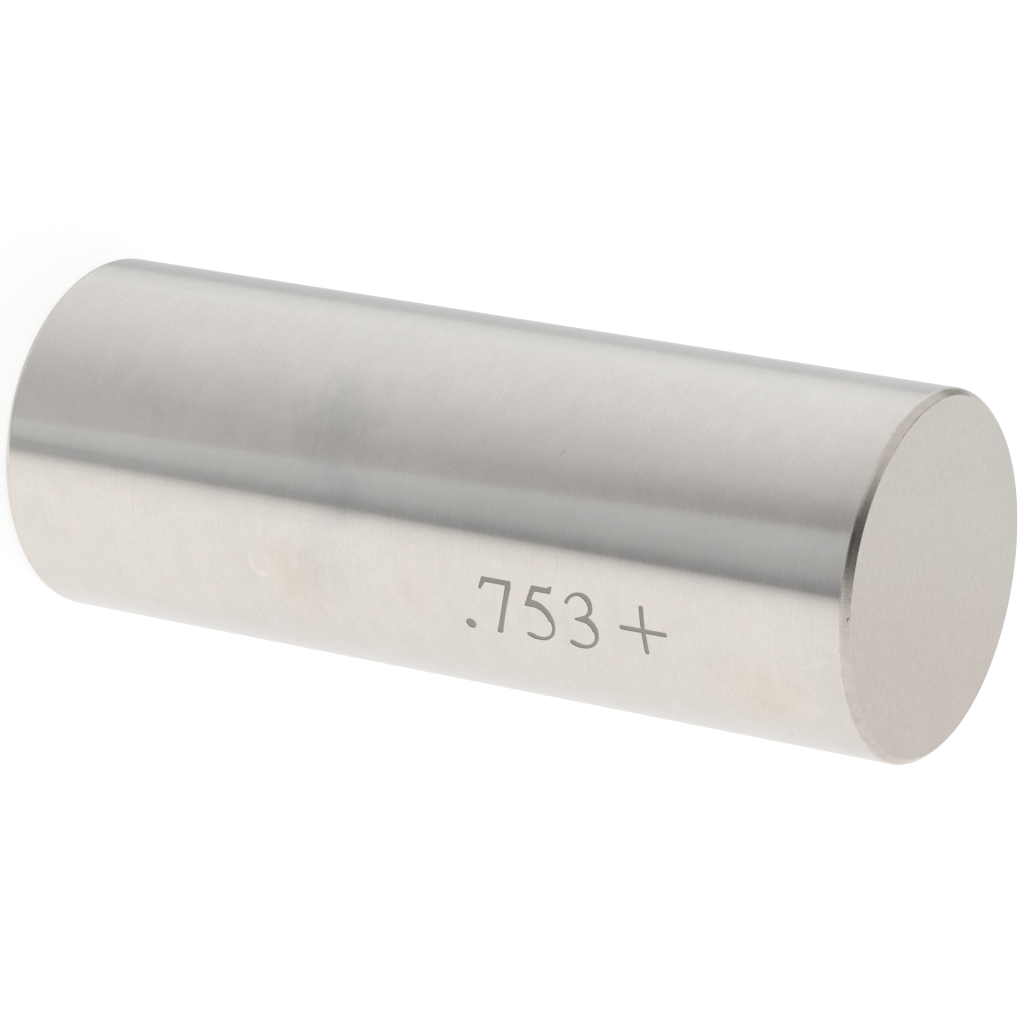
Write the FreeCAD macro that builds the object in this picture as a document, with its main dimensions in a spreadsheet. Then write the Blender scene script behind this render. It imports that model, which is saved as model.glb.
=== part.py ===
import FreeCAD, Part
import math
import os
import sys

import Sketcher

# A plain pin gauge: one solid cylinder of tool steel, ground to size, with a small chamfer round each
# end and its size engraved along one side. The number is the diameter in inches, .753, and the plus
# says that the pin's tolerance lies above it.
#
# Frame: the axis is +Z, and the origin is the centre of the lower end face. The number faces -Y and
# reads upwards, with the tops of its characters towards -X.

# Driving sizes, in millimetres.
SIZES = {
    "gauge_diameter": 19.1262,
    "gauge_length": 50.8,
    "chamfer_size": 0.35,
    "edge_radius": 0.4,
    "character_height": 3.175,
    "character_pitch": 2.52,
    "number_setback": 23.54,
    "engraving_depth": 0.02,
    "cutter_overrun": 1.0,
}

CHAMFER_ANGLE = 45  # degrees between a chamfer and the end face beside it

# Outlines of the characters, in hundredths of their height, from the left end of each one's space on
# the baseline. The first corner is the start. After it, a single corner is the end of a straight edge,
# and a pair is an arc that passes through the first point and ends at the second.
SEVEN = [
    (8.5, 100),
    ((6.8, 99.6), (6.2, 98.2)),
    (0, 81),
    ((2, 77.5), (5.5, 80)),
    (10, 86.5),
    ((12.5, 90), (17, 91)),
    (50.5, 91),
    ((40, 51), (22.5, 0.5)),
    ((28, -1.5), (33.5, 1.5)),
    (60.5, 88),
    (61, 98.3),
    ((60.5, 99.6), (59, 100)),
    (8.5, 100),
]
FIVE = [
    (21.5, 100),
    ((19.8, 99.3), (19, 97.5)),
    (5.5, 65),
    ((5.2, 62.8), (7, 62)),
    (16, 61.8),
    ((36.5, 56), (46, 40.5)),
    (49.3, 39.5),
    ((44, 14.5), (26, 6.8)),
    ((20, 7.6), (14.5, 10.2)),
    (6, 11.9),
    ((1.5, 10.5), (0.4, 6)),
    ((8.5, 1.2), (21, -0.5)),
    ((48.5, 11), (56.7, 33)),
    ((47.5, 61.5), (20, 75)),
    (18.8, 77),
    (25, 89),
    ((26, 90.1), (27.5, 90.4)),
    (54.5, 90.6),
    (57.5, 102.5),
    ((57.2, 103.8), (55.8, 104)),
    ((52.3, 102.2), (48, 100)),
    (21.5, 100),
]
THREE = [
    (1.5, 84),
    ((2.2, 79.3), (6.2, 80.5)),
    ((13.5, 91), (26, 96.5)),
    ((38.5, 90), (43.6, 78)),
    ((41.5, 70.5), (34, 63.5)),
    (18.5, 57),
    ((16.6, 54.8), (19, 52.6)),
    (30, 51.4),
    ((41, 47), (46.8, 37)),
    (49.2, 34.5),
    ((43, 14.5), (25, 7.4)),
    ((17, 8.8), (9, 12.2)),
    ((1.2, 10.5), (3.5, 3.2)),
    ((11.5, -0.3), (21, -1)),
    ((46, 9), (57.4, 32)),
    ((54, 50), (42.5, 61.5)),
    (43.2, 63.6),
    ((50, 71), (51.5, 81)),
    ((44.5, 98.3), (29, 102.8)),
    ((13, 97.5), (1.5, 84)),
]
PLUS = [
    (59, 15.5),
    ((63, 12.5), (67, 15.5)),
    (66.3, 52),
    (102, 52.3),
    ((104.8, 56.3), (102, 60.3)),
    (65.6, 60),
    (65, 97.5),
    ((61, 100.2), (57, 97.5)),
    (58, 60),
    (21.5, 60),
    ((19.2, 56.5), (22.5, 51.8)),
    (58.6, 52),
    (59, 15.5),
]
# The decimal point is a disc, with this centre and radius.
POINT_CENTRE = (54, 7)
POINT_RADIUS = 9.3

START, END, CENTRE = 1, 2, 3  # the points of an edge, as a sketch numbers them
ORIGIN = (-1, 1)  # a sketch's own origin


def make_sheet(doc):
    """The spreadsheet of driving sizes: names in column A, plain numbers with aliases in column B."""
    sheet = doc.addObject("Spreadsheet::Sheet", "Sizes")
    for row, (name, value) in enumerate(SIZES.items(), start=1):
        sheet.set(f"A{row}", name)
        sheet.set(f"B{row}", str(value))
        sheet.setAlias(f"B{row}", name)
    doc.recompute()
    return sheet


def new_sketch(body, name):
    """A sketch on the body's own XZ plane, which holds the pin's axis and faces -Y."""
    sketch = body.newObject("Sketcher::SketchObject", name)
    plane = next(p for p in body.Origin.OriginFeatures if p.Role == "XZ_Plane")
    sketch.AttachmentSupport = [(plane, "")]
    sketch.MapMode = "FlatFace"
    return sketch


def dimension(sketch, expression, *constraint):
    """Adds a dimension to a sketch and ties it to the sheet."""
    index = sketch.addConstraint(Sketcher.Constraint(*constraint))
    sketch.setExpression(f"Constraints[{index}]", expression)


def share(hundredths):
    """The expression for a distance in hundredths of the characters' height."""
    return f"{hundredths} * Sizes.character_height / 100"


def draw_blank_section(body, sheet):
    """Half of the pin's section, from the axis out: an end face, a chamfer and its eased outer edge, the
    ground wall, and the same again at the upper end."""
    sketch = new_sketch(body, "blank_section")
    radius, length = sheet.gauge_diameter / 2, sheet.gauge_length
    chamfer, easing = sheet.chamfer_size, sheet.edge_radius
    slope = math.radians(CHAMFER_ANGLE)
    # The easing arc meets the wall this far past the corner, and its centre is level with that point.
    setback = easing * math.tan(slope / 2)
    arc_start = FreeCAD.Vector(radius - setback * math.sin(slope), chamfer - setback * math.cos(slope))
    arc_middle = FreeCAD.Vector(
        radius - easing * (1 - math.cos(slope / 2)), chamfer + setback - easing * math.sin(slope / 2)
    )
    arc_end = FreeCAD.Vector(radius, chamfer + setback)
    origin, rim = FreeCAD.Vector(0, 0), FreeCAD.Vector(radius - chamfer, 0)

    def mirrored(point):
        return FreeCAD.Vector(point.x, length - point.y)

    edges = [
        Part.LineSegment(origin, rim),
        Part.LineSegment(rim, arc_start),
        Part.Arc(arc_start, arc_middle, arc_end),
        Part.LineSegment(arc_end, mirrored(arc_end)),
        Part.Arc(mirrored(arc_end), mirrored(arc_middle), mirrored(arc_start)),
        Part.LineSegment(mirrored(arc_start), mirrored(rim)),
        Part.LineSegment(mirrored(rim), mirrored(origin)),
        Part.LineSegment(mirrored(origin), origin),
    ]
    for edge in edges:
        sketch.addGeometry(edge)
    lower_end, lower_chamfer, lower_arc, wall, upper_arc, upper_chamfer, upper_end, axis = range(8)
    for edge, following in (
        (lower_end, lower_chamfer),
        (upper_chamfer, upper_end),
        (upper_end, axis),
        (axis, lower_end),
    ):
        sketch.addConstraint(Sketcher.Constraint("Coincident", edge, END, following, START))
    for edge in (lower_chamfer, lower_arc, wall, upper_arc):
        sketch.addConstraint(Sketcher.Constraint("Tangent", edge, END, edge + 1, START))
    sketch.addConstraint(Sketcher.Constraint("Coincident", lower_end, START, *ORIGIN))
    for edge in (lower_end, upper_end):
        sketch.addConstraint(Sketcher.Constraint("Horizontal", edge))
    for edge in (wall, axis):
        sketch.addConstraint(Sketcher.Constraint("Vertical", edge))
    sketch.addConstraint(Sketcher.Constraint("Angle", lower_chamfer, slope))
    sketch.addConstraint(Sketcher.Constraint("Equal", lower_end, upper_end))
    sketch.addConstraint(Sketcher.Constraint("Equal", lower_chamfer, upper_chamfer))
    sketch.addConstraint(Sketcher.Constraint("Equal", lower_arc, upper_arc))
    dimension(sketch, "Sizes.gauge_diameter / 2", "DistanceX", *ORIGIN, wall, START, radius)
    dimension(sketch, "Sizes.gauge_length", "DistanceY", axis, END, axis, START, length)
    dimension(sketch, "Sizes.chamfer_size", "DistanceX", lower_end, END, wall, START, chamfer)
    dimension(sketch, "Sizes.edge_radius", "Radius", lower_arc, easing)
    return sketch


def make_blank(doc, sheet):
    """The pin before it is engraved, turned and ground about its axis."""
    body = doc.addObject("PartDesign::Body", "blank")
    section = draw_blank_section(body, sheet)
    turned = body.newObject("PartDesign::Revolution", "turned")
    turned.Profile = section
    turned.ReferenceAxis = (section, ["V_Axis"])
    turned.Angle = 360
    return body


def place_along(sketch, spaces):
    """Moves a sketch out past the wall, turns it to read upwards, and puts its origin on the baseline
    at the left end of the space that is so many spaces along the number."""
    upwards = FreeCAD.Rotation(FreeCAD.Vector(0, 0, 1), 90)
    sketch.AttachmentOffset = FreeCAD.Placement(FreeCAD.Vector(), upwards)
    number_start = "Sizes.gauge_length - Sizes.number_setback"
    sketch.setExpression(".AttachmentOffset.Base.x", "Sizes.character_height / 2")
    sketch.setExpression(".AttachmentOffset.Base.y", f"{number_start} + {spaces} * Sizes.character_pitch")
    sketch.setExpression(".AttachmentOffset.Base.z", "Sizes.gauge_diameter / 2 + Sizes.cutter_overrun")


def draw_outline(sketch, outline, scale):
    """Draws a closed outline, and ties each corner and each arc's radius to the characters' height."""
    start = outline[0]
    joint = first_joint = None
    for step in outline[1:]:
        middle, end = step if isinstance(step[0], tuple) else (None, step)
        ends = [FreeCAD.Vector(x * scale, y * scale) for x, y in (start, end)]
        if middle:
            through = FreeCAD.Vector(middle[0] * scale, middle[1] * scale)
            edge = sketch.addGeometry(Part.Arc(ends[0], through, ends[1]))
            radius = sketch.Geometry[edge].Radius
            dimension(sketch, share(radius / scale), "Radius", edge, radius)
        else:
            edge = sketch.addGeometry(Part.LineSegment(*ends))
        # A sketch keeps its arcs anticlockwise, so a clockwise one starts where this step ends.
        forwards = sketch.getPoint(edge, START).isEqual(ends[0], 1e-6)
        near, far = (START, END) if forwards else (END, START)
        dimension(sketch, share(start[0]), "DistanceX", *ORIGIN, edge, near, ends[0].x)
        dimension(sketch, share(start[1]), "DistanceY", *ORIGIN, edge, near, ends[0].y)
        if joint:
            sketch.addConstraint(Sketcher.Constraint("Coincident", *joint, edge, near))
        else:
            first_joint = (edge, near)
        joint, start = (edge, far), end
    sketch.addConstraint(Sketcher.Constraint("Coincident", *joint, *first_joint))


def draw_point(sketch, scale):
    """Draws the decimal point, and ties its centre and radius to the characters' height."""
    x, y = POINT_CENTRE
    centre = FreeCAD.Vector(x * scale, y * scale)
    disc = sketch.addGeometry(Part.Circle(centre, FreeCAD.Vector(0, 0, 1), POINT_RADIUS * scale))
    dimension(sketch, share(POINT_RADIUS), "Radius", disc, POINT_RADIUS * scale)
    dimension(sketch, share(x), "DistanceX", *ORIGIN, disc, CENTRE, centre.x)
    dimension(sketch, share(y), "DistanceY", *ORIGIN, disc, CENTRE, centre.y)


def make_characters(doc, sheet):
    """The number as a row of prisms that run from outside the wall in to the pin's axis."""
    scale = sheet.character_height / 100
    body = doc.addObject("PartDesign::Body", "characters")
    number = [("point", None), ("seven", SEVEN), ("five", FIVE), ("three", THREE), ("plus", PLUS)]
    for spaces, (name, outline) in enumerate(number):
        sketch = new_sketch(body, f"{name}_outline")
        place_along(sketch, spaces)
        if outline:
            draw_outline(sketch, outline, scale)
        else:
            draw_point(sketch, scale)
        prism = body.newObject("PartDesign::Pad", name)
        prism.Profile = sketch
        prism.Reversed = True
        prism.setExpression("Length", "Sizes.gauge_diameter / 2 + Sizes.cutter_overrun")
    return body


def make_cylinder(doc, name, radius):
    """A cylinder on the pin's axis and as long as the pin, with its radius from the sheet."""
    cylinder = doc.addObject("Part::Cylinder", name)
    cylinder.setExpression("Radius", radius)
    cylinder.setExpression("Height", "Sizes.gauge_length")
    return cylinder


def make_engraving(doc, sheet):
    """What the engraving removes: the characters, held to the engraving's depth under the wall."""
    layer = doc.addObject("Part::Cut", "engraved_layer")
    layer.Base = make_cylinder(doc, "layer_outside", "Sizes.gauge_diameter / 2 + Sizes.cutter_overrun / 2")
    layer.Tool = make_cylinder(doc, "layer_inside", "Sizes.gauge_diameter / 2 - Sizes.engraving_depth")
    engraving = doc.addObject("Part::Common", "engraving")
    engraving.Base = make_characters(doc, sheet)
    engraving.Tool = layer
    return engraving


def make_gauge_pin(doc, sheet):
    """The finished pin: the blank with its size engraved."""
    pin = doc.addObject("Part::Cut", "gauge_pin")
    pin.Label = "gauge_pin"
    pin.Base = make_blank(doc, sheet)
    pin.Tool = make_engraving(doc, sheet)
    return pin


def check(doc, pin):
    """Stops with a message if anything in the document failed, or the pin isn't one sound solid."""
    failed = [item.Name for item in doc.Objects if {"Invalid", "Error"} & set(item.State)]
    if failed:
        sys.exit(f"failed: {failed}")
    if pin.Shape.isNull() or not pin.Shape.isValid() or len(pin.Shape.Solids) != 1:
        sys.exit(f"{pin.Label} isn't one valid solid")
    removed = pin.Base.Shape.Volume - pin.Shape.Volume
    if removed <= 0:
        sys.exit("the engraving removed nothing")


def main():
    doc = FreeCAD.newDocument("pin_gauge")
    sheet = make_sheet(doc)
    pin = make_gauge_pin(doc, sheet)
    doc.recompute()
    check(doc, pin)
    os.makedirs("parts", exist_ok=True)
    pin.Shape.exportStep(os.path.join("parts", f"{pin.Label}.step"))
    print(f"{pin.Label}: {pin.Shape.Volume:.2f} cubic mm, {len(pin.Shape.Faces)} faces")


main()
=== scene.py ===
"""A ground steel pin gauge standing on its lower end: its finish, its studio and its camera.

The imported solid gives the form. Here its mesh is cut finer, gets exact normals and a few nicks on
the chamfers, and its wall, ends and engraved number get their own steel. Lengths are in metres.
"""

import math
import random

import bmesh
import bpy
from mathutils import Matrix, Vector


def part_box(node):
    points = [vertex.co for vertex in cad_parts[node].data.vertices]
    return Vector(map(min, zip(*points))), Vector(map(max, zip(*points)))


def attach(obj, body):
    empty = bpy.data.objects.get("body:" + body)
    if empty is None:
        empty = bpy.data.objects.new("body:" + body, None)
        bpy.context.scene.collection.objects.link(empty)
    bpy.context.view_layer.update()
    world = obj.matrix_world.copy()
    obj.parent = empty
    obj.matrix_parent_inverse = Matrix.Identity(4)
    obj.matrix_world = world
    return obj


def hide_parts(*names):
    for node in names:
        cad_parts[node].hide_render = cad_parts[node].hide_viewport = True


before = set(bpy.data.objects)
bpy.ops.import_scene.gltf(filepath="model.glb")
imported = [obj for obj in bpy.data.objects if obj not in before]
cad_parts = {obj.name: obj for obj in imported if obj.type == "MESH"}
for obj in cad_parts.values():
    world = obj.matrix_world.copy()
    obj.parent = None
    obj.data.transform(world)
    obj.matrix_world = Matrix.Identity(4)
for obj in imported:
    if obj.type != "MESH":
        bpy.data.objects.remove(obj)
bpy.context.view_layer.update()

MM = 0.001

# The gauge, with its overall sizes from the frame.
NODE = "gauge_pin"
GAUGE_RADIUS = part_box(NODE)[1].x
GAUGE_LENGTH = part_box(NODE)[1].z
CHAMFER = 0.35 * MM
OUTER_ROUND = 0.4 * MM
INNER_ROUND = 0.12 * MM
ENGRAVING_DEPTH = 0.02 * MM

# How the mesh is cut finer. The cuts start a little off the frame's axes and the end, clear of its edges.
WELD = 1e-8
RADIAL_CUTS = 90
FIRST_RADIAL_CUT = 0.37
CHAMFER_RINGS = 4
FIRST_RING = 0.8
INNER_ROUND_STEPS = 4
NICK_EDGE = 0.022 * MM
NICK_REFINEMENTS = 7
NICK_STEEPNESS = 1.5

# Nicks on the upper chamfer: degrees round from the camera's side, height, length, width, depth and lean.
NICKS = [
    (16.8, 50.70, 0.12, 0.050, 0.040, 0.9),
    (10.5, 50.74, 0.08, 0.030, 0.006, 1.4),
    (-5.6, 50.60, 0.05, 0.035, 0.004, -0.6),
]
STRAY_NICKS = 9

# The camera stands by this azimuth and height above the gauge's middle, tipped over on its side.
VIEW_AZIMUTH = math.radians(-123.85)
VIEW_ELEVATION = math.radians(29.81)
VIEW_DISTANCE = 267.446 * MM
VIEW_TARGET = Vector((0.405, -0.272, 26.106)) * MM
VIEW_ROLL = math.radians(-100.14)
LENS = 179.75
SENSOR = 36.0

# Linear colours: the ground steel, its tinges, the chamfers, the two sides of the ends and the number.
STEEL = (0.745, 0.703, 0.658)
PEACH = (0.99, 0.955, 0.895)
SLATE = (0.915, 0.935, 0.955)
CHAMFER_STEEL = (0.745, 0.69, 0.628)
END_STEEL = (0.737, 0.696, 0.643)
END_TARNISH = (0.705, 0.645, 0.580)
MARK_STEEL = (0.40, 0.375, 0.34)
COOL_LIGHT = (0.945, 1.0, 1.045)

# The grey side of the ends, and how strongly the room, the floor and the lamp shine. 1 shows as white.
END_GREY = (0.70, 0.685, 0.655)
BACKDROP_WHITE = 1.0
ROOM_LIGHT = 0.75
FLOOR_GREY = 0.3
FLOOR_GLOW = 0.79
FLOOR_SIZE = 4.0
LAMP_SIZE = 0.5
LAMP_WATTS = 1.2
LAMP_PLACE = Vector((0.25, 0.2, 0.6))

# Spots on the wall, in mm: degrees round from the camera's side, height, half sizes, lean and strength.
PEACH_STAINS = [
    (38, 18.6, 3.4, 3.2, 0.0, 0.9),
    (34, 25.5, 2.2, 1.6, 0.0, 0.45),
    (49, 45.8, 2.9, 4.4, 0.0, 0.9),
    (160, 31.0, 4.0, 5.0, 0.3, 0.7),
    (-115, 12.0, 3.0, 4.2, -0.2, 0.6),
]
SMUDGES = [
    (-14, 20.4, 4.6, 3.6, 0.0, 1.0),
    (8, 21.5, 2.2, 2.2, 0.0, 0.8),
    (30, 20.0, 5.0, 2.6, 0.0, 0.5),
    (-12, 9.0, 1.5, 4.5, 0.35, 0.35),
    (118, 37.0, 3.5, 2.6, 0.2, 0.8),
    (-150, 24.0, 3.0, 5.0, -0.4, 0.6),
]
PALE_SCUFFS = [
    (34.5, 15.75, 0.85, 0.17, 0.0, 0.9),
    (38.2, 16.25, 0.26, 0.62, 0.1, 1.0),
    (33.0, 49.0, 1.1, 0.16, 1.1, 0.5),
    (100, 22.0, 0.9, 0.10, 0.5, 0.8),
    (-170, 40.0, 0.7, 0.12, -0.7, 0.8),
]
DARK_SCRATCHES = [
    (-17.6, 33.6, 0.26, 0.030, 0.45, 1.0),
    (69.8, 46.1, 0.26, 0.045, 0.5, 1.0),
    (26.0, 2.0, 0.06, 0.26, 0.2, 0.35),
    (14.0, 34.4, 0.06, 0.06, 0.0, 0.8),
    (24.0, 8.5, 2.6, 0.10, 0.0, 0.12),
    (85, 30.0, 0.40, 0.030, -0.3, 0.8),
    (175, 15.0, 0.30, 0.030, 0.6, 0.8),
    (-100, 36.0, 0.25, 0.030, 0.1, 0.8),
]

WALL, MARK_FLOOR, MARK_SIDE, EDGE, END = range(5)


class Graph:
    """A node tree with short calls that make a node and wire it."""

    def __init__(self, tree):
        self.tree = tree
        tree.nodes.clear()

    def feed(self, socket, value):
        if isinstance(value, bpy.types.NodeSocket):
            self.tree.links.new(value, socket)
        else:
            socket.default_value = value

    def node(self, kind, values=(), **settings):
        made = self.tree.nodes.new("ShaderNode" + kind)
        for name, value in settings.items():
            setattr(made, name, value)
        for key, value in dict(values).items():
            self.feed(made.inputs[key], value)
        return made

    def math(self, operation, *values):
        return self.node("Math", enumerate(values), operation=operation).outputs[0]

    def vector(self, operation, *values):
        return self.node("VectorMath", enumerate(values), operation=operation).outputs[0]

    def step(self, value, start, end, low=0.0, high=1.0, kind="SMOOTHSTEP"):
        """low before start, high after end, and a smooth or LINEAR way between them."""
        inputs = {"Value": value, "From Min": start, "From Max": end, "To Min": low, "To Max": high}
        return self.node("MapRange", inputs, interpolation_type=kind).outputs["Result"]

    def stops(self, value, stops):
        """A level for each place along value, with straight lines between the stops."""
        first, last = stops[0][0], stops[-1][0]
        share = self.step(value, first, last, kind="LINEAR")
        ramp = self.node("ValToRGB", {"Fac": share})
        elements = ramp.color_ramp.elements
        while len(elements) < len(stops):
            elements.new(0.5)
        for element, (place, level) in zip(elements, stops):
            element.position = (place - first) / (last - first)
            element.color = (level, level, level, 1.0)
        return ramp.outputs["Color"]

    def mix(self, share, a, b):
        return self.math("ADD", a, self.math("MULTIPLY", share, self.math("SUBTRACT", b, a)))

    def tint(self, share, a, b, blend="MIX"):
        """Colour a turning into colour b, or multiplied by it."""
        made = self.node("Mix", data_type="RGBA", blend_type=blend)
        self.feed(made.inputs["Factor"], share)
        self.feed(made.inputs[6], a)
        self.feed(made.inputs[7], b)
        return made.outputs[2]

    def noise(self, place, size, detail=2.0, roughness=0.5, seed=0.0, twist=0.0):
        """Noise around 0; size is the length, along each axis, of its lumps."""
        moved = self.vector("ADD", self.vector("DIVIDE", place, size), (seed, -seed, 1.7 * seed))
        inputs = {"Vector": moved, "Scale": 1.0, "Detail": detail, "Roughness": roughness,
                  "Distortion": twist}
        return self.math("SUBTRACT", self.node("TexNoise", inputs).outputs["Fac"], 0.5)

    def total(self, start, *shares):
        """start with each value added in its share."""
        for value, share in shares:
            start = self.math("MULTIPLY_ADD", value, share, start)
        return start

    def scaled(self, rgb, level):
        return self.node("VectorMath", {0: rgb, "Scale": level}, operation="SCALE").outputs[0]

    def patch(self, place, ragged, azimuth, height, half_arc, half_height, lean=0.0, soft=0.6):
        """1 in the middle of a spot on the wall and 0 outside it, with a ragged edge. Sizes in mm."""
        outward = Vector((math.cos(azimuth), math.sin(azimuth), 0))
        middle = outward * GAUGE_RADIUS + Vector((0, 0, height * MM))
        offset = self.vector("SUBTRACT", place, middle)
        flat = self.node("VectorRotate", {"Vector": offset, "Angle": -azimuth}, rotation_type="Z_AXIS")
        leaned = self.node("VectorRotate", {"Vector": flat.outputs[0], "Angle": lean}, rotation_type="X_AXIS")
        sizes = (max(half_arc, half_height) * MM, half_arc * MM, half_height * MM)
        shares = self.vector("DIVIDE", leaned.outputs[0], sizes)
        away = self.node("VectorMath", {0: shares}, operation="LENGTH")
        reach = self.total(away.outputs["Value"], (ragged, 0.9))
        return self.step(reach, 1.0 - soft, 1.0, 1.0, 0.0)


def colour(rgb):
    return (*rgb, 1.0)


def product(a, b):
    return tuple(x * y for x, y in zip(a, b))


# ---- the gauge's mesh -------------------------------------------------------------------------


def tangent_length(round_radius):
    """How far a round reaches along each of the two faces that it joins, where they meet at 45 degrees."""
    return round_radius * math.tan(math.radians(22.5))


def zone_of(face):
    """Which of the gauge's surfaces a face belongs to."""
    heights = [v.co.z for v in face.verts]
    radii = [v.co.xy.length for v in face.verts]
    if max(heights) - min(heights) < WELD and (min(heights) < WELD or max(heights) > GAUGE_LENGTH - WELD):
        return END
    wall_end = CHAMFER + tangent_length(OUTER_ROUND) - 10 * WELD
    if min(heights) < wall_end or max(heights) > GAUGE_LENGTH - wall_end:
        return EDGE
    if max(radii) - min(radii) > ENGRAVING_DEPTH / 2:
        return MARK_SIDE
    return WALL if min(radii) > GAUGE_RADIUS - ENGRAVING_DEPTH / 2 else MARK_FLOOR


def round_inner_edges(shape, zone):
    """Breaks the sharp edge between each chamfer and the end that it runs up to."""
    sharp = [e for e in shape.edges if {f[zone] for f in e.link_faces} == {EDGE, END}]
    made = bmesh.ops.bevel(shape, geom=sharp, offset=tangent_length(INNER_ROUND), offset_type="OFFSET",
                           segments=INNER_ROUND_STEPS, profile=0.5, affect="EDGES")
    for face in made["faces"]:
        face[zone] = EDGE


def cut_finer(shape):
    """Cuts the mesh with planes through its axis and with rings across both chamfers."""
    planes = []
    for i in range(RADIAL_CUTS):
        angle = math.pi * (i + FIRST_RADIAL_CUT) / RADIAL_CUTS
        planes.append(((0, 0, 0), (-math.sin(angle), math.cos(angle), 0)))
    for i in range(CHAMFER_RINGS):
        height = CHAMFER * (i + FIRST_RING) / CHAMFER_RINGS
        planes += [((0, 0, height), (0, 0, 1)), ((0, 0, GAUGE_LENGTH - height), (0, 0, 1))]
    for place, normal in planes:
        whole = shape.verts[:] + shape.edges[:] + shape.faces[:]
        bmesh.ops.bisect_plane(shape, geom=whole, dist=WELD, plane_co=place, plane_no=normal)


def chamfer_profile(height):
    """The true radius at a height near either end, and how far its surface has turned to face that end."""
    depth = min(height, GAUGE_LENGTH - height)
    into_round = CHAMFER + tangent_length(OUTER_ROUND) - depth
    if into_round <= 0:
        return GAUGE_RADIUS, 0.0
    if into_round <= OUTER_ROUND * math.sin(math.radians(45)):
        turn = math.asin(into_round / OUTER_ROUND)
        return GAUGE_RADIUS - OUTER_ROUND * (1 - math.cos(turn)), turn
    if depth >= INNER_ROUND * (1 - math.cos(math.radians(45))):
        return GAUGE_RADIUS - CHAMFER + depth, math.radians(45)
    turn = math.asin(min(1.0, 1 - depth / INNER_ROUND))
    return GAUGE_RADIUS - CHAMFER - tangent_length(INNER_ROUND) + INNER_ROUND * math.cos(turn), turn


def chamfer_normal(place):
    """The direction that a chamfer faces at a place on it."""
    turn = chamfer_profile(place.z)[1]
    side = 1.0 if place.z > GAUGE_LENGTH / 2 else -1.0
    outward = Vector((place.x, place.y, 0)).normalized()
    return outward * math.cos(turn) + Vector((0, 0, side * math.sin(turn)))


def settle(shape, zone):
    """Moves the points that the cuts made back onto the true wall, chamfers and engraving floor."""
    for vert in shape.verts:
        zones = {face[zone] for face in vert.link_faces}
        if WALL in zones:
            goal = GAUGE_RADIUS
        elif MARK_FLOOR in zones:
            goal = GAUGE_RADIUS - ENGRAVING_DEPTH
        elif EDGE in zones:
            goal = chamfer_profile(vert.co.z)[0]
        else:
            continue
        scale = goal / vert.co.xy.length
        vert.co.x *= scale
        vert.co.y *= scale


def nick_list():
    """Each nick's middle, the way it runs, the way in, and its length, width and depth."""
    rng = random.Random(7530)
    nicks = list(NICKS)
    for _ in range(STRAY_NICKS):
        depth_in = rng.uniform(0.06, 0.2)
        height = rng.choice((depth_in, GAUGE_LENGTH / MM - depth_in))
        nicks.append((rng.uniform(40, 320), height, rng.uniform(0.05, 0.14), rng.uniform(0.03, 0.05),
                      rng.uniform(0.004, 0.014), rng.uniform(-0.9, 0.9)))
    for degrees, *sizes, lean in nicks:
        height, reach, width, depth = (size * MM for size in sizes)
        at, turn = chamfer_profile(height)
        azimuth = VIEW_AZIMUTH + math.radians(degrees)
        outward = Vector((math.cos(azimuth), math.sin(azimuth), 0))
        middle = outward * at + Vector((0, 0, height))
        normal = chamfer_normal(middle)
        across = Vector((-outward.y, outward.x, 0))
        along = Matrix.Rotation(lean, 3, normal) @ normal.cross(across)
        yield middle, along, normal, reach, width, depth


def press_nicks(shape, zone):
    """Cuts the chamfers finer round each nick and presses it in. Returns where each moved point faces."""
    nicks = list(nick_list())
    for middle, _, _, reach, _, _ in nicks:
        for _ in range(NICK_REFINEMENTS):
            long_edges = [e for e in shape.edges if e.calc_length() > NICK_EDGE
                          and ((e.verts[0].co + e.verts[1].co) / 2 - middle).length < 1.3 * reach
                          and any(f[zone] == EDGE for f in e.link_faces)]
            if not long_edges:
                break
            bmesh.ops.subdivide_edges(shape, edges=long_edges, cuts=1, use_grid_fill=True)
            bmesh.ops.triangulate(shape, faces=[f for f in shape.faces if len(f.verts) > 3])
    settle(shape, zone)
    facing = {}
    for middle, along, normal, reach, width, depth in nicks:
        across = normal.cross(along)
        for vert in shape.verts:
            offset = vert.co - middle
            if offset.length > 2 * reach or not any(f[zone] == EDGE for f in vert.link_faces):
                continue
            far_along, far_across = offset.dot(along) / reach, offset.dot(across) / width
            spread = far_along ** 2 + far_across ** 2
            if spread < 4:
                dip = depth * math.exp(-NICK_STEEPNESS * spread)
                slope = 2 * NICK_STEEPNESS * dip * (along * far_along / reach + across * far_across / width)
                facing[vert] = facing.get(vert, chamfer_normal(vert.co)) - slope
                vert.co -= normal * dip
    return facing


def exact_normal(loop, zone, facing):
    """The direction that the real surface faces at a corner of a face."""
    vert, kind = loop.vert, loop.face[zone]
    if kind in (WALL, MARK_FLOOR):
        return Vector((vert.co.x, vert.co.y, 0)).normalized()
    if kind == MARK_SIDE:
        return loop.face.normal.copy()
    if kind == END:
        return Vector((0, 0, 1.0 if vert.co.z > GAUGE_LENGTH / 2 else -1.0))
    return facing[vert].normalized() if vert in facing else chamfer_normal(vert.co)


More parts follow.
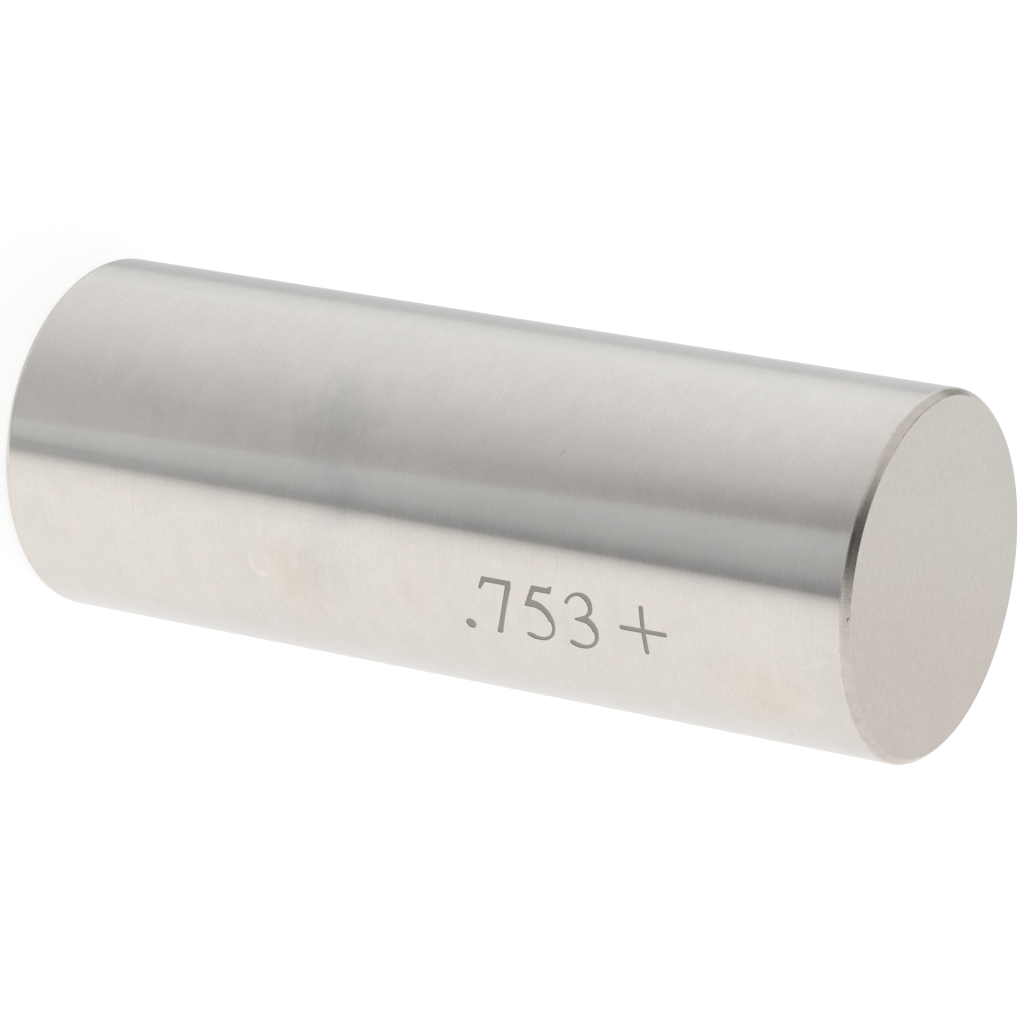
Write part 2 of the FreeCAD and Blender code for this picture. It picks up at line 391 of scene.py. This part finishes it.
def gauge_mesh(packed):
    """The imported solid's own mesh, cut finer, nicked, and given its materials and exact normals."""
    shape = bmesh.new()
    shape.from_mesh(packed)
    bmesh.ops.remove_doubles(shape, verts=shape.verts, dist=WELD)
    zone = shape.faces.layers.int.new("zone")
    for face in shape.faces:
        face[zone] = zone_of(face)
    round_inner_edges(shape, zone)
    cut_finer(shape)
    bmesh.ops.triangulate(shape, faces=shape.faces[:])
    facing = press_nicks(shape, zone)
    shape.normal_update()
    slots = {WALL: 0, EDGE: 1, END: 2, MARK_FLOOR: 3, MARK_SIDE: 3}
    normals = []
    for face in shape.faces:
        face.smooth = True
        face.material_index = slots[face[zone]]
        normals += [exact_normal(loop, zone, facing) for loop in face.loops]
    mesh = bpy.data.meshes.new("ground_gauge")
    for material in (wall_steel(), chamfer_steel(), end_steel(), mark_steel()):
        mesh.materials.append(material)
    shape.to_mesh(mesh)
    shape.free()
    mesh.normals_split_custom_set(normals)
    return mesh


def make_gauge(node):
    """The visible gauge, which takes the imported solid's place."""
    gauge = bpy.data.objects.new("ground_gauge", gauge_mesh(node.data))
    bpy.context.scene.collection.objects.link(gauge)
    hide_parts(NODE)
    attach(gauge, "root")


# ---- the steel --------------------------------------------------------------------------------


def new_material(name):
    material = bpy.data.materials.new(name)
    material.use_nodes = True
    graph = Graph(material.node_tree)
    place = graph.node("TexCoord").outputs["Object"]
    return material, graph, place


def finish_metal(graph, base, roughness, height, bump_height):
    """The shader of one steel surface, with its relief from a height of 0 to 1."""
    bump = graph.node("Bump", {"Height": height, "Distance": bump_height, "Strength": 1.0})
    shader = graph.node("BsdfPrincipled", {
        "Base Color": base, "Roughness": roughness, "Metallic": 1.0, "Normal": bump.outputs["Normal"]})
    output = graph.node("OutputMaterial")
    graph.feed(output.inputs["Surface"], shader.outputs["BSDF"])


def spots(graph, place, ragged, rows, soft):
    """One mask for a list of spots on the wall."""
    whole = 0.0
    for degrees, height, half_arc, half_height, lean, strength in rows:
        azimuth = VIEW_AZIMUTH + math.radians(degrees)
        spot = graph.patch(place, ragged, azimuth, height, half_arc, half_height, lean, soft)
        whole = graph.math("MAXIMUM", whole, graph.math("MULTIPLY", spot, strength))
    return whole


def wall_steel():
    """Fine grinding lines run round the wall, under faint stains, smudges and scuffs."""
    material, graph, place = new_material("ground_wall")
    lines = graph.noise(place, (2.6 * MM, 2.6 * MM, 0.075 * MM), 2.0, 0.6)
    grain = graph.noise(place, (0.17 * MM, 0.17 * MM, 0.11 * MM), 1.5, 0.6, 3.1)
    cloud = graph.noise(place, (1.5 * MM, 1.5 * MM, 1.2 * MM), 3.0, 0.6, 5.3)
    drift = graph.noise(place, (7 * MM, 7 * MM, 7 * MM), 2.0, 0.5, 8.9)
    hue = graph.noise(place, (1.1 * MM, 1.1 * MM, 1.1 * MM), 2.0, 0.6, 20.3)
    peach = spots(graph, place, cloud, PEACH_STAINS, 0.95)
    smudge = spots(graph, place, cloud, SMUDGES, 0.95)
    swirl = graph.noise(place, (0.5 * MM, 1.3 * MM, 0.5 * MM), 3.0, 0.65, 12.7, 1.2)
    wisps = graph.math("MULTIPLY", smudge, graph.step(swirl, 0.03, 0.22))
    smears = graph.math("MULTIPLY", smudge, graph.step(swirl, -0.03, -0.25))
    pale = spots(graph, place, grain, PALE_SCUFFS, 0.5)
    dark = spots(graph, place, 0.0, DARK_SCRATCHES, 0.6)
    height = graph.node("SeparateXYZ", {"Vector": place}).outputs["Z"]
    worn = graph.step(height, GAUGE_LENGTH - 4.5 * MM, GAUGE_LENGTH, 0.0, -0.05)
    level = graph.total(worn, (lines, 0.11), (grain, 0.15), (cloud, 0.11), (drift, 0.07),
                        (smudge, -0.05), (wisps, 0.06), (smears, -0.05), (pale, 0.09), (dark, -0.30))
    tinge = graph.tint(graph.total(0.5, (hue, 1.6)), colour(product(STEEL, (1.012, 0.997, 0.985))),
                       colour(product(STEEL, (0.988, 1.003, 1.015))))
    patchy = graph.math("MULTIPLY", peach, graph.total(0.85, (hue, 1.8)))
    tinge = graph.tint(patchy, tinge, colour(product(STEEL, PEACH)))
    tinge = graph.tint(graph.math("MULTIPLY", smudge, 0.85), tinge, colour(product(STEEL, SLATE)))
    roughness = graph.total(0.092, (lines, 0.06), (grain, 0.05), (cloud, 0.05), (smudge, 0.05), (pale, 0.1))
    relief = graph.total(0.5, (lines, 0.5), (grain, 0.35), (dark, -0.8))
    base = graph.scaled(tinge, graph.math("ADD", 1.0, level))
    finish_metal(graph, base, roughness, relief, 0.0008 * MM)
    return material


def chamfer_steel():
    """The chamfers keep coarser tool marks and small dull spots."""
    material, graph, place = new_material("turned_chamfer")
    rings = graph.noise(place, (1.2 * MM, 1.2 * MM, 0.04 * MM), 2.0, 0.6)
    grain = graph.noise(place, (0.13 * MM, 0.13 * MM, 0.13 * MM), 2.0, 0.6, 2.2)
    dull = graph.noise(place, (0.6 * MM, 0.6 * MM, 0.6 * MM), 2.0, 0.5, 6.1)
    level = graph.total(1.0, (rings, 0.12), (grain, 0.34), (dull, 0.26))
    roughness = graph.total(0.17, (grain, 0.16), (dull, 0.14))
    height = graph.total(0.5, (rings, 0.5), (grain, 0.9), (dull, 0.9))
    finish_metal(graph, graph.scaled(CHAMFER_STEEL, level), roughness, height, 0.004 * MM)
    return material


def end_steel():
    """The ends are lapped one way: mottled, a little warm, tarnished on one side and greyer at another."""
    material, graph, place = new_material("lapped_end")
    lapped = graph.node("VectorRotate", {"Vector": place, "Angle": -VIEW_AZIMUTH}, rotation_type="Z_AXIS")
    lapped = lapped.outputs["Vector"]
    mottle = graph.noise(lapped, (0.34 * MM, 0.6 * MM, 0.4 * MM), 3.0, 0.6)
    grain = graph.noise(lapped, (0.11 * MM, 0.19 * MM, 0.13 * MM), 1.5, 0.6, 4.4)
    drift = graph.noise(place, (2.6 * MM, 2.6 * MM, 2.6 * MM), 2.0, 0.5, 9.2)
    tinge = graph.noise(place, (0.8 * MM, 0.8 * MM, 0.8 * MM), 3.0, 0.6, 15.1)
    level = graph.total(1.0, (mottle, 0.20), (grain, 0.20), (drift, 0.07))
    aside = graph.node("SeparateXYZ", {"Vector": lapped}).outputs["Y"]
    tarnish = graph.step(graph.total(aside, (drift, 8 * MM), (tinge, 6 * MM)), -4 * MM, 5 * MM)
    base = graph.tint(tarnish, colour(END_STEEL), colour(END_TARNISH))
    grey_side = graph.node("VectorMath", {0: lapped, 1: (-0.87, -0.5, 0)}, operation="DOT_PRODUCT")
    grey = graph.step(graph.total(grey_side.outputs["Value"], (drift, 6 * MM)), 4 * MM, 10 * MM, 0.0, 0.6)
    grey = graph.math("MAXIMUM", grey, graph.step(tinge, 0.02, 0.3))
    base = graph.tint(grey, base, colour(END_GREY))
    roughness = graph.total(0.3, (mottle, 0.12), (grain, 0.1))
    height = graph.total(0.5, (mottle, 0.7), (grain, 0.4))
    finish_metal(graph, graph.scaled(base, level), roughness, height, 0.002 * MM)
    return material


def mark_steel():
    """The number's strokes are etched matt and darker than the wall."""
    material, graph, place = new_material("etched_number")
    grain = graph.noise(place, (0.08 * MM, 0.08 * MM, 0.08 * MM), 3.0, 0.6)
    base = graph.scaled(MARK_STEEL, graph.total(1.0, (grain, 0.25)))
    finish_metal(graph, base, graph.total(0.55, (grain, 0.2)), grain, 0.006 * MM)
    return material


# ---- the studio -------------------------------------------------------------------------------


def blob(graph, azimuth, elevation, middle, half_size):
    """1 at a place in the studio, falling to 0 at half_size degrees from it."""
    across = graph.math("DIVIDE", graph.math("SUBTRACT", azimuth, middle[0]), half_size[0])
    up = graph.math("DIVIDE", graph.math("SUBTRACT", elevation, middle[1]), half_size[1])
    away = graph.math("SQRT", graph.total(graph.math("MULTIPLY", across, across), (up, up)))
    return graph.step(away, 0.25, 1.0, 1.0, 0.0)


def light_below(graph, azimuth, elevation, past_line, past_edge, line):
    """The studio below the horizon, which the wall shows: a left box, a darker gap and a right box."""
    left = graph.stops(azimuth, [
        (-180, 0.78), (-160, 0.69), (-150, 0.677), (-139, 0.675), (-136, 0.78), (-128, 0.89), (-115, 0.96),
        (-95, 0.93), (-75, 0.875), (-58, 0.79), (-46, 0.71), (-34, 0.645), (-22, 0.60), (10, 0.60)])
    shade = graph.math("MULTIPLY", graph.step(elevation, -35, -26, 0.0, 0.17, "LINEAR"),
                       graph.step(graph.math("SUBTRACT", azimuth, line), -30, -3))
    tilt = graph.math("MULTIPLY", graph.step(elevation, -35.5, -26.0, -0.035, 0.035, "LINEAR"),
                      graph.step(azimuth, -120, -50, 1.0, 0.0))
    left = graph.math("ADD", graph.math("SUBTRACT", left, shade), tilt)
    gap = graph.stops(azimuth, [
        (-40, 0.61), (-6, 0.615), (0, 0.59), (4, 0.555), (10, 0.515), (14, 0.45), (18, 0.37), (24, 0.33)])
    gap = graph.math("ADD", gap, graph.step(elevation, -36, -29, 0.15, 0.0))
    post = blob(graph, azimuth, elevation, (16.3, -35.6), (2.6, 1.9))
    gap = graph.math("MULTIPLY", gap, graph.total(1.0, (post, -0.12)))
    right = graph.stops(azimuth, [
        (20, 0.50), (23, 0.56), (25, 0.68), (27, 0.81), (31, 0.93), (40, 1.0), (50, 1.01), (100, 0.99),
        (120, 0.96), (150, 0.93), (180, 0.86)])
    right = graph.math("ADD", right, graph.step(elevation, -36, -32, 0.03, 0.0))
    return graph.mix(past_edge, graph.mix(past_line, left, gap), right)


def light_above(graph, toward, aside, elevation):
    """The studio above the horizon, which the chamfers and the ends show. Dark behind the camera."""
    front = graph.stops(aside, [
        (-60, 0.70), (-48, 0.675), (-42, 0.58), (-38, 0.52), (-33, 0.41), (-27, 0.25), (-20, 0.12),
        (-13, 0.085), (-6, 0.08), (0, 0.13), (7, 0.25), (13, 0.44), (20, 0.645), (27, 0.70), (33, 0.78),
        (48, 0.84), (60, 0.82)])
    front = graph.math("ADD", front, graph.step(elevation, 44, 60, 0.0, 0.03))
    back = graph.stops(aside, [(-60, 0.69), (-40, 0.72), (0, 0.82), (60, 0.79)])
    return graph.mix(graph.step(toward, -0.15, 0.1), back, front)


def studio(graph, direction):
    """The studio as steel sees it, by degrees round from the camera's side and up: its light's level and
    how cool that light is."""
    turned = graph.node("VectorRotate", {"Vector": direction, "Angle": -VIEW_AZIMUTH}, rotation_type="Z_AXIS")
    parts = graph.node("SeparateXYZ", {"Vector": turned.outputs["Vector"]}).outputs
    azimuth = graph.math("DEGREES", graph.math("ARCTAN2", parts[1], parts[0]))
    elevation = graph.math("DEGREES", graph.math("ARCSINE", parts[2]))
    aside = graph.math("DEGREES", graph.math("ARCSINE", parts[1]))
    line = graph.step(elevation, -35.5, -25.5, 3.0, -17.8, "LINEAR")
    past_line = graph.step(graph.math("SUBTRACT", azimuth, line), -0.5, 0.7)
    past_edge = graph.step(azimuth, 22.0, 22.9)
    low = light_below(graph, azimuth, elevation, past_line, past_edge, line)
    high = light_above(graph, parts[0], aside, elevation)
    level = graph.mix(graph.step(elevation, -20, 14), low, high)
    corner = blob(graph, azimuth, elevation, (-146, 5), (19, 16))
    overhead = blob(graph, azimuth, elevation, (-140, 43), (33, 22))
    level = graph.math("MULTIPLY", level, graph.total(1.0, (corner, -0.5), (overhead, -0.58)))
    cool = graph.stops(azimuth, [(-180, 0.6), (-130, 0.6), (-100, 0.5), (-70, 0.45), (-40, 0.3), (-15, 0.12),
                                 (23, 0.05), (180, 0.0)])
    in_gap = graph.math("MULTIPLY", past_line, graph.math("SUBTRACT", 1.0, past_edge))
    cool = graph.math("MAXIMUM", cool, graph.math("MULTIPLY", in_gap, 0.85))
    cool = graph.math("MULTIPLY", cool, graph.step(elevation, -12, 8, 1.0, 0.0))
    return level, cool


def make_world():
    """The camera sees a white backdrop, steel sees the studio, and matt things get plain light."""
    world = bpy.data.worlds.new("studio")
    world.use_nodes = True
    bpy.context.scene.world = world
    graph = Graph(world.node_tree)
    level, cool = studio(graph, graph.node("TexCoord").outputs["Generated"])
    light = graph.tint(cool, colour((1, 1, 1)), colour(COOL_LIGHT))
    rays = graph.node("LightPath").outputs
    white = graph.node("Background", {"Color": colour((1, 1, 1)), "Strength": BACKDROP_WHITE})
    plain = graph.node("Background", {"Color": colour((1, 1, 1)), "Strength": ROOM_LIGHT})
    boxes = graph.node("Background", {"Color": light, "Strength": level})
    lit = graph.node("MixShader", {0: rays["Is Glossy Ray"], 1: plain.outputs[0], 2: boxes.outputs[0]})
    seen = graph.node("MixShader", {0: rays["Is Camera Ray"], 1: lit.outputs[0], 2: white.outputs[0]})
    graph.feed(graph.node("OutputWorld").inputs["Surface"], seen.outputs[0])


def make_floor():
    """White paper that keeps the gauge's shadow and that steel doesn't reflect."""
    bpy.ops.mesh.primitive_plane_add(size=FLOOR_SIZE, location=(0, 0, 0))
    floor = bpy.context.object
    floor.name = "studio_floor"
    floor.visible_glossy = False
    material = bpy.data.materials.new("white_paper")
    material.use_nodes = True
    graph = Graph(material.node_tree)
    paper = graph.node("BsdfDiffuse", {"Color": colour((FLOOR_GREY,) * 3)})
    glow = graph.node("Emission", {"Color": colour((1, 1, 1)), "Strength": FLOOR_GLOW})
    dark = graph.node("Emission", {"Color": colour((1, 1, 1)), "Strength": 0.0})
    rays = graph.node("LightPath").outputs
    shown = graph.node("MixShader", {0: rays["Is Camera Ray"], 1: dark.outputs[0], 2: glow.outputs[0]})
    both = graph.node("AddShader", {0: paper.outputs[0], 1: shown.outputs[0]})
    graph.feed(graph.node("OutputMaterial").inputs["Surface"], both.outputs[0])
    floor.data.materials.append(material)


def make_lamp():
    """One large soft box overhead. Steel doesn't reflect it, so it lights the floor alone."""
    data = bpy.data.lights.new("soft_box", "AREA")
    data.shape = "DISK"
    data.size = LAMP_SIZE
    data.energy = LAMP_WATTS
    lamp = bpy.data.objects.new("soft_box", data)
    lamp.location = LAMP_PLACE
    lamp.rotation_euler = (-LAMP_PLACE).to_track_quat("-Z", "Y").to_euler()
    lamp.visible_camera = False
    lamp.visible_glossy = False
    bpy.context.scene.collection.objects.link(lamp)


def make_camera():
    """A long lens at the photograph's viewing angle, rolled over because the gauge stands upright here."""
    toward = Vector((math.cos(VIEW_AZIMUTH) * math.cos(VIEW_ELEVATION),
                     math.sin(VIEW_AZIMUTH) * math.cos(VIEW_ELEVATION), math.sin(VIEW_ELEVATION)))
    data = bpy.data.cameras.new("camera")
    data.sensor_width = SENSOR
    data.lens = LENS
    data.clip_start = 10 * MM
    camera = bpy.data.objects.new("camera", data)
    upright = toward.to_track_quat("Z", "Y").to_matrix()
    rolled = upright @ Matrix.Rotation(-VIEW_ROLL, 3, "Z")
    camera.matrix_world = Matrix.Translation(VIEW_TARGET + toward * VIEW_DISTANCE) @ rolled.to_4x4()
    bpy.context.scene.collection.objects.link(camera)
    bpy.context.scene.camera = camera


bpy.context.scene.view_settings.view_transform = "Standard"
make_gauge(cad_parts[NODE])
make_world()
make_floor()
make_lamp()
make_camera()
